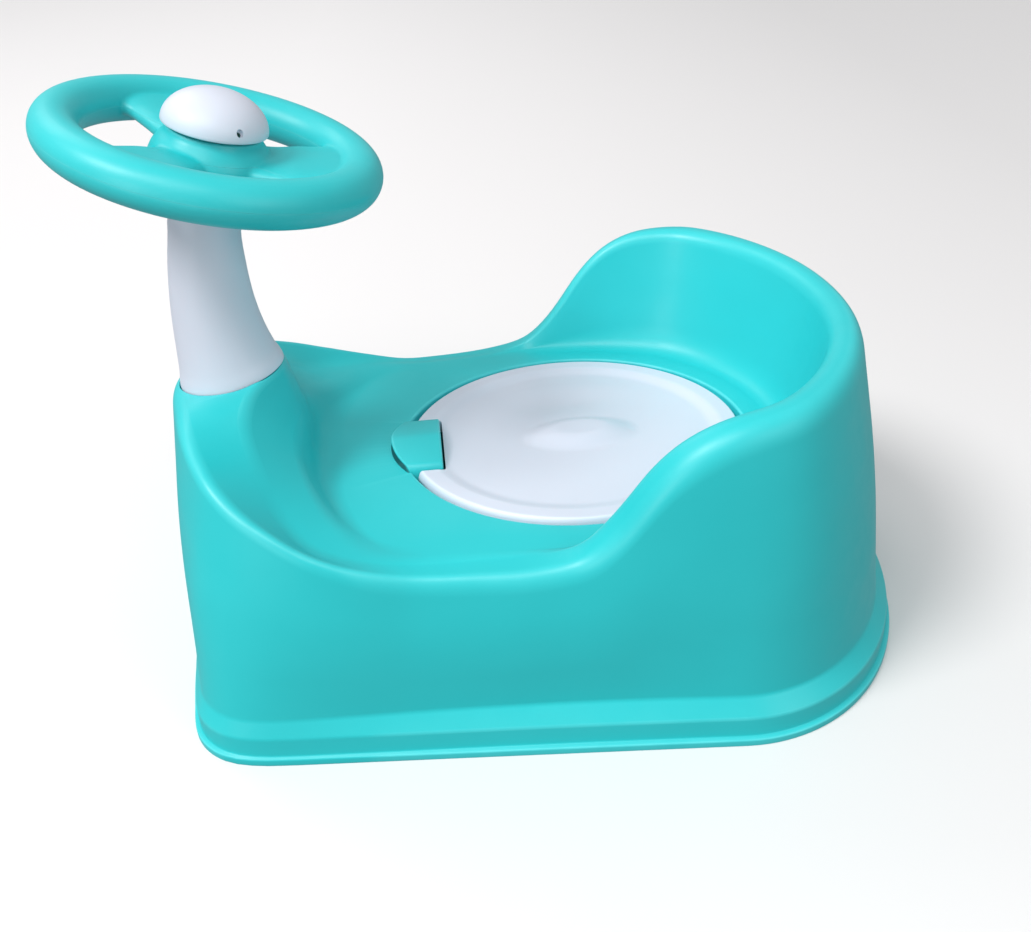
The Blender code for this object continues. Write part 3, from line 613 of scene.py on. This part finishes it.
def lug_mesh(bottom):
    """Finger lug with a roof-shaped top whose rounded ridge runs fore and aft."""
    inset = 0.0014
    turns = np.radians(np.linspace(0, 90, 6))
    front = [(inset * (1 - math.sin(a)), LUG_FRONT + inset * (1 - math.cos(a))) for a in turns]
    stations = front + [(drop, LUG_FRONT + LUG_BACK - y) for drop, y in reversed(front)]
    rings = []
    for drop, y in stations:
        corner = SEAT_Y + y + LUG_BOW * (LUG_BACK - y) / (LUG_BACK - LUG_FRONT)
        ring = [(-LUG_HALF + drop, corner, bottom), (LUG_HALF - drop, corner, bottom)]
        for share in np.linspace(1, -1, 41):
            edge = 0.0026 * max(0.0, (abs(share) - 0.88) / 0.12) ** 2.2
            ridge = LUG_ROOF * (math.hypot(abs(share), 0.10) - 0.10)
            bow = LUG_BOW * share * share * (LUG_BACK - y) / (LUG_BACK - LUG_FRONT)
            ring.append(((LUG_HALF - drop) * share, SEAT_Y + y + bow, LUG_TOP - ridge - edge - drop))
        rings.append(ring)
    return ring_mesh(rings)


def make_bowl():
    """The pot with its flange, a tongue that carries the lug, and the lug."""
    flange = LEDGE_Z + 0.0004
    corners = [(-0.0400, 0.0120, 0, 0), (-0.0270, 0.0120, 0.0090, 8), (-0.0105, flange, 0.0015, 4),
               (-0.0014, flange, 0.0006, 3), (-0.0014, flange + 0.0024, 0.0008, 4),
               (-0.0138, flange + 0.0024, 0.0016, 5), (-0.0298, 0.0146, 0.0080, 8), (-0.0410, 0.0146, 0, 0)]
    profile = [(p.x, p.y) for p in round_corners(corners)]
    bowl = add_object("bowl_skin", ring_mesh(oval_rings(profile)), sharp_angle=50)
    low = (-LUG_HALF, SEAT_Y + LUG_FRONT + LUG_BOW, flange - 0.0012)
    high = (LUG_HALF, SEAT_Y + LUG_BACK - 0.004, flange + 0.0024)
    tongue = add_object("tongue", rounded_box(low, high, 0.0006, 2))
    lug = add_object("lug", lug_mesh(flange + 0.0005))
    return combine(bowl, "UNION", [tongue, lug], 40)


def bump(value, width):
    """A smooth hill of height 1 at value 0 that ends at value = width."""
    return ease(np.clip(1 - abs(value) / width, 0, 1))


def lid_height(x, y, share):
    """Top of the lid above its underside: raised rim, sunken middle, long grip, shallow well beside it."""
    edge = 0.972
    rim = 0.0062 + 0.0018 * ease(ramp(share, 0.80, 0.10))
    if share > edge:
        rim -= 0.0040 * ((share - edge) / 0.028) ** 2.6
    reach = math.hypot((y - SEAT_Y - 0.003) / 0.034, x / 0.0185)
    ridge = bump(max(reach - 0.35, 0.0), 0.65)
    well = bump(math.hypot((y - SEAT_Y) / 0.046, (x + 0.036) / 0.020), 1.0)
    return rim + 0.0046 * ridge - 0.0016 * well


def make_lid():
    """The lid: a spigot ring below, a shaped top in finely spaced ovals, and a notch for the lug."""
    under = LEDGE_Z + 0.0032
    shares = np.concatenate([np.linspace(0.02, 0.86, 56), np.linspace(0.87, 1.0, 26)])
    rings = oval_rings([(-0.0640, under + 0.0042), (-0.0215, under + 0.0042), (-0.0200, under - 0.0038),
                        (-0.0198, under - 0.0040), (-0.0182, under - 0.0040), (-0.0180, under - 0.0038),
                        (-0.0165, under), (-0.0024, under), (-0.0020, under + 0.0004)])
    for share in reversed(shares):
        ring = []
        for k in range(OVAL_SEGMENTS):
            a = 2 * math.pi * k / OVAL_SEGMENTS
            x = (OPENING_X - 0.0020) * share * math.cos(a)
            y = SEAT_Y + (OPENING_Y - 0.0020) * share * math.sin(a)
            ring.append((x, y, under + lid_height(x, y, share)))
        rings.append(ring)
    lid = add_object("lid_skin", ring_mesh(rings), sharp_angle=55)
    low = (-LUG_HALF - 0.0012, SEAT_Y + LUG_FRONT - 0.03, 0.08)
    high = (LUG_HALF + 0.0012, SEAT_Y + LUG_BACK + 0.0012, 0.13)
    notch = add_object("notch", rounded_box(low, high, 0.0025))
    return combine(lid, "DIFFERENCE", [notch], 55)


# ---------------------------------------------------------------- materials
class Nodes:
    """Short names for building a material's node tree."""

    def __init__(self, name):
        self.material = bpy.data.materials.new(name)
        self.material.use_nodes = True
        self.tree = self.material.node_tree
        self.shader = self.tree.nodes["Principled BSDF"]
        self.place = self.tree.nodes.new("ShaderNodeTexCoord").outputs["Object"]

    def link(self, start, end):
        self.tree.links.new(start, end)

    def noise(self, scale, detail=2.0, rough=0.5, stretch=None):
        node = self.tree.nodes.new("ShaderNodeTexNoise")
        node.inputs["Scale"].default_value = scale
        node.inputs["Detail"].default_value = detail
        node.inputs["Roughness"].default_value = rough
        source = self.place
        if stretch:
            mapping = self.tree.nodes.new("ShaderNodeMapping")
            mapping.inputs["Scale"].default_value = stretch
            self.link(source, mapping.inputs["Vector"])
            source = mapping.outputs["Vector"]
        self.link(source, node.inputs["Vector"])
        return node.outputs["Fac"]

    def remap(self, value, low, high, to_low, to_high):
        node = self.tree.nodes.new("ShaderNodeMapRange")
        for key, number in (("From Min", low), ("From Max", high), ("To Min", to_low), ("To Max", to_high)):
            if isinstance(number, (int, float)):
                node.inputs[key].default_value = number
            else:
                self.link(number, node.inputs[key])
        self.link(value, node.inputs["Value"])
        return node.outputs["Result"]

    def mix(self, factor, first, second):
        node = self.tree.nodes.new("ShaderNodeMix")
        node.data_type = "RGBA"
        for socket, value in ((node.inputs[0], factor), (node.inputs[6], first), (node.inputs[7], second)):
            if isinstance(value, (tuple, float)):
                socket.default_value = value
            else:
                self.link(value, socket)
        return node.outputs[2]

    def bump(self, height, strength, distance, normal=None):
        node = self.tree.nodes.new("ShaderNodeBump")
        node.inputs["Strength"].default_value = strength
        node.inputs["Distance"].default_value = distance
        self.link(height, node.inputs["Height"])
        if normal:
            self.link(normal, node.inputs["Normal"])
        return node.outputs["Normal"]


def mark_wear_and_highlight(piece):
    """A vertex attribute for lightened convex edges, rubbing and painted highlight together: 0 on flats,
    hollows and coarse faces, 1 at the full radius set above.
    """
    mesh = piece.data
    count = len(mesh.vertices)
    places = np.empty(count * 3)
    mesh.vertices.foreach_get("co", places)
    places = places.reshape(-1, 3)
    normals = np.array([vertex.normal for vertex in mesh.vertices])
    ends = np.empty(len(mesh.edges) * 2, int)
    mesh.edges.foreach_get("vertices", ends)
    ends = ends.reshape(-1, 2)
    along = places[ends[:, 1]] - places[ends[:, 0]]
    length = np.maximum(np.sqrt((along ** 2).sum(axis=1)), SHORTEST_EDGE)
    bend = np.zeros(count)
    near = np.zeros(count)
    longest = np.zeros(count)
    for end, sign in ((0, -2.0), (1, 2.0)):
        here = ends[:, end]
        np.add.at(bend, here, sign * (normals[here] * along).sum(axis=1) / length ** 2)
        np.add.at(near, here, 1.0)
        np.maximum.at(longest, here, length)
    wear_and_highlight = np.clip(bend / np.maximum(near, 1.0) * (2 * FULL_WEAR_HIGHLIGHT_RADIUS), 0.0, 1.0)
    wear_and_highlight *= longest < COARSE_EDGE
    spread = wear_and_highlight.copy()
    np.add.at(spread, ends[:, 0], wear_and_highlight[ends[:, 1]])
    np.add.at(spread, ends[:, 1], wear_and_highlight[ends[:, 0]])
    layer = mesh.attributes.new("wear_and_highlight", "FLOAT", "POINT")
    layer.data.foreach_set("value", (spread / (near + 1.0)).astype(np.float32))


def edge_wear_and_highlight(nodes):
    """The mesh's attribute of rubbed edges and painted edge highlight, broken up by noise."""
    layer = nodes.tree.nodes.new("ShaderNodeAttribute")
    layer.attribute_name = "wear_and_highlight"
    most = nodes.remap(nodes.noise(55.0, 4.0), 0.3, 0.7, 0.5, 1.0)
    return nodes.remap(layer.outputs["Fac"], 0.0, 1.0, 0.0, most)


def plastic(name, colour, deep, bright, roughness, subsurface):
    """Satin moulded plastic: slow flow tone, fine spark-eroded grain, edges lightened as rubbing and painted
    highlight, faint scuffs.
    """
    nodes = Nodes(name)
    shader = nodes.shader
    flow = nodes.remap(nodes.noise(7.0, 3.0, 0.55, (1.0, 0.6, 1.6)), 0.35, 0.68, 0.0, 1.0)
    toned = nodes.mix(flow, deep, colour)
    # Painted highlight mixed with rubbing: convex edges lighten towards the bright colour.
    worn_and_lit = nodes.mix(edge_wear_and_highlight(nodes), toned, bright)
    nodes.link(worn_and_lit, shader.inputs["Base Color"])
    patches = nodes.remap(nodes.noise(38.0, 4.0, 0.6), 0.3, 0.7, roughness - 0.05, roughness + 0.07)
    nodes.link(patches, shader.inputs["Roughness"])
    grain = nodes.bump(nodes.noise(2600.0, 2.0, 0.5), 0.10, 0.00006)
    ripple = nodes.bump(nodes.noise(26.0, 2.0, 0.45), 0.16, 0.0009, grain)
    scuffs = nodes.remap(nodes.noise(90.0, 5.0, 0.7, (1.0, 9.0, 2.0)), 0.62, 0.70, 0.0, 1.0)
    nodes.link(nodes.bump(scuffs, 0.05, 0.00008, ripple), shader.inputs["Normal"])
    shader.inputs["IOR"].default_value = 1.49
    shader.inputs["Specular IOR Level"].default_value = 0.50
    shader.inputs["Subsurface Weight"].default_value = subsurface
    shader.inputs["Subsurface Radius"].default_value = (0.6, 1.0, 1.0)
    shader.inputs["Subsurface Scale"].default_value = 0.004
    nodes.material.diffuse_color = colour
    return nodes.material


def soft_vinyl():
    """Cream bellows vinyl, duller than the mouldings."""
    nodes = Nodes("soft_vinyl_look")
    shader = nodes.shader
    tone = nodes.remap(nodes.noise(60.0, 3.0), 0.3, 0.7, 0.0, 1.0)
    colour = nodes.mix(tone, (0.62, 0.56, 0.42, 1.0), (0.74, 0.69, 0.55, 1.0))
    nodes.link(colour, shader.inputs["Base Color"])
    nodes.link(nodes.remap(tone, 0.0, 1.0, 0.55, 0.68), shader.inputs["Roughness"])
    nodes.link(nodes.bump(nodes.noise(1500.0), 0.2, 0.0001), shader.inputs["Normal"])
    return nodes.material


def zinc():
    """Zinc-plated steel with patchy tone and fine marks along one way."""
    nodes = Nodes("zinc_look")
    shader = nodes.shader
    tone = nodes.remap(nodes.noise(900.0, 3.0), 0.3, 0.7, 0.0, 1.0)
    colour = nodes.mix(tone, (0.48, 0.49, 0.52, 1.0), (0.66, 0.66, 0.64, 1.0))
    nodes.link(colour, shader.inputs["Base Color"])
    nodes.link(nodes.remap(tone, 0.0, 1.0, 0.26, 0.42), shader.inputs["Roughness"])
    marks = nodes.noise(3000.0, 2.0, 0.5, (1.0, 12.0, 1.0))
    nodes.link(nodes.bump(marks, 0.2, 0.00005), shader.inputs["Normal"])
    shader.inputs["Metallic"].default_value = 1.0
    return nodes.material


def paper():
    """Matt white floor with painted shade: it darkens to a pale grey beyond the chair's back."""
    nodes = Nodes("paper_floor")
    shader = nodes.shader
    split = nodes.tree.nodes.new("ShaderNodeSeparateXYZ")
    nodes.link(nodes.place, split.inputs["Vector"])
    # Painted shade: the floor greys towards +Y, beyond the chair's back.
    fade = nodes.remap(split.outputs["Y"], -0.20, 0.65, 0.0, 1.0)
    mottle = nodes.remap(nodes.noise(1.2, 2.0), 0.3, 0.7, 0.0, 0.12)
    white = nodes.mix(mottle, (0.88, 0.865, 0.865, 1.0), (0.86, 0.845, 0.845, 1.0))
    nodes.link(nodes.mix(fade, white, (0.72, 0.71, 0.71, 1.0)), shader.inputs["Base Color"])
    shader.inputs["Roughness"].default_value = 0.9
    shader.inputs["Specular IOR Level"].default_value = 0.1
    return nodes.material


# ---------------------------------------------------------------- put together
def dress(piece, body, slot, material, *replaced):
    """Give a piece its lightened edges (rubbing and painted highlight), material, body, slot and the CAD
    nodes that it stands for.
    """
    mark_wear_and_highlight(piece)
    piece.data.materials.clear()
    piece.data.materials.append(material)
    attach(piece, body)
    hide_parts(*replaced)


def make_object():
    """Every piece that replaces a CAD node, in its material and on its body."""
    # The third colour of each plastic is the lightened edge colour: rubbing and painted highlight.
    teal = plastic("teal_look", (0.022, 0.580, 0.610, 1.0), (0.018, 0.545, 0.575, 1.0),
                   (0.09, 0.68, 0.71, 1.0), 0.40, 0.05)
    white = plastic("white_look", (0.69, 0.73, 0.83, 1.0), (0.665, 0.705, 0.805, 1.0),
                    (0.76, 0.81, 0.91, 1.0), 0.42, 0.08)
    vinyl = soft_vinyl()
    steel = zinc()
    dress(make_seat(), "seat", "teal_plastic", teal, "seat_shell")
    dress(make_column(), "seat", "white_plastic", white, "steering_column")
    upper, lower = make_wheel_halves()
    dress(upper, "wheel", "teal_plastic", teal, "wheel_upper_shell")
    dress(lower, "wheel", "teal_plastic", teal, "wheel_lower_shell")
    dress(make_cap(), "horn", "white_plastic", white, "horn_cap")
    inside = make_hub_inside()
    dress(inside["washer_skin"], "seat", "zinc_steel", steel, "spindle_washer")
    dress(inside["plate_skin"], "wheel", "white_plastic", white, "squeaker_plate")
    dress(inside["reed_skin"], "wheel", "white_plastic", white, "squeaker_reed")
    dress(inside["bellows_skin"], "wheel", "soft_vinyl", vinyl, "horn_bellows")
    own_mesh(inside["bellows_skin"])
    dress(make_bowl(), "bowl", "teal_plastic", teal, "bowl")
    dress(make_lid(), "lid", "white_plastic", white, "lid")
    flipped = wheel_matrix() @ Matrix.Translation((0, 0, -0.0057)) @ Matrix.Rotation(math.pi, 4, "X")
    spindle_screw = make_screw("spindle_screw_skin", 0.0040, 0.0016, 0.0010, 0.0110, flipped)
    dress(spindle_screw, "seat", "zinc_steel", steel, "spindle_screw")
    for number, (x, y) in enumerate(COLUMN_SCREWS, 1):
        place = seam_matrix() @ Matrix.Translation((x, y, -0.0064))
        screw = make_screw(f"column_screw_skin_{number}", 0.0034, 0.0020, 0.0012, 0.0156, place)
        dress(screw, "seat", "zinc_steel", steel, f"column_screw_{number}")
    for number, (angle, _, _) in enumerate(SPOKES, 1):
        turn = wheel_matrix() @ Matrix.Rotation(math.radians(angle), 4, "Z")
        place = turn @ Matrix.Translation((SPOKE_SCREW_R, 0, -0.0039))
        screw = make_screw(f"wheel_screw_skin_{number}", 0.0032, 0.0018, 0.0010, 0.0064, place)
        dress(screw, "wheel", "zinc_steel", steel, f"wheel_screw_{number}")


def make_stage():
    """The floor is a backdrop only: it takes shadows, but throws no light back on the chair."""
    bm = bmesh.new()
    bmesh.ops.create_grid(bm, x_segments=8, y_segments=8, size=6.0)
    floor = add_object("floor", bm)
    floor.data.materials.append(paper())
    floor.visible_diffuse = False
    floor.visible_glossy = False


def area_light(name, place, aim, size, watts):
    """A round white light of this size, aimed at a point."""
    data = bpy.data.lights.new(name, "AREA")
    data.shape = "DISK"
    data.size = size
    data.energy = watts
    light = bpy.data.objects.new(name, data)
    light.location = place
    light.rotation_euler = (Vector(aim) - Vector(place)).to_track_quat("-Z", "Y").to_euler()
    bpy.context.scene.collection.objects.link(light)


def make_lights():
    """Soft key from above and the front, weak round lights, and a sky that darkens below the horizon."""
    scene = bpy.context.scene
    world = bpy.data.worlds.new("studio")
    scene.world = world
    world.use_nodes = True
    tree = world.node_tree
    sky = tree.nodes["Background"]
    sky.inputs["Color"].default_value = (0.97, 0.98, 1.0, 1.0)
    direction = tree.nodes.new("ShaderNodeTexCoord")
    split = tree.nodes.new("ShaderNodeSeparateXYZ")
    fade = tree.nodes.new("ShaderNodeMapRange")
    fade.interpolation_type = "SMOOTHSTEP"
    for key, value in (("From Min", -0.40), ("From Max", 0.80), ("To Min", 0.33), ("To Max", 0.45)):
        fade.inputs[key].default_value = value
    tree.links.new(direction.outputs["Generated"], split.inputs["Vector"])
    tree.links.new(split.outputs["Z"], fade.inputs["Value"])
    tree.links.new(fade.outputs["Result"], sky.inputs["Strength"])
    sun = bpy.data.lights.new("key", "SUN")
    sun.energy = 1.75
    sun.angle = math.radians(20)
    sun.color = (1.0, 0.995, 0.985)
    key = bpy.data.objects.new("key", sun)
    key.rotation_euler = Vector((0.34, -0.74, 1.0)).to_track_quat("Z", "Y").to_euler()
    bpy.context.scene.collection.objects.link(key)
    area_light("softbox", (-1.2, -1.0, 1.6), (0.0, 0.0, 0.1), 1.1, 6.0)
    area_light("overhead", (0.85, -0.25, 1.55), (0.0, 0.0, 0.1), 0.9, 8.0)
    area_light("fill", (1.4, -1.3, 0.55), (0.0, -0.1, 0.15), 1.0, 6.5)
    area_light("rear_fill", (1.2, 1.0, 0.70), (0.0, 0.0, 0.12), 1.0, 4.0)
    scene.view_settings.view_transform = "Standard"
    scene.view_settings.look = "None"
    scene.view_settings.exposure = 0.0


def make_camera():
    """A phone-like view from the chair's right side, looking down at about 32 degrees, slightly rolled."""
    azimuth = math.radians(85.87)
    elevation = math.radians(32.405)
    roll = math.radians(-3.009)
    distance = 0.6332
    target = Vector((0.0, -0.0015, 0.0873))
    back = Vector((math.sin(azimuth) * math.cos(elevation), -math.cos(azimuth) * math.cos(elevation),
                   math.sin(elevation)))
    right = (-back).cross(Vector((0, 0, 1))).normalized()
    up = right.cross(-back)
    right, up = math.cos(roll) * right + math.sin(roll) * up, math.cos(roll) * up - math.sin(roll) * right
    data = bpy.data.cameras.new("camera")
    data.sensor_fit = "HORIZONTAL"
    data.sensor_width = 36.0
    data.lens = 40.2
    data.clip_start = 0.01
    camera = bpy.data.objects.new("camera", data)
    axes = Matrix((right, up, back)).transposed().to_4x4()
    camera.matrix_world = Matrix.Translation(target + back * distance) @ axes
    bpy.context.scene.collection.objects.link(camera)
    bpy.context.scene.camera = camera


make_object()
make_stage()
make_lights()
make_camera()
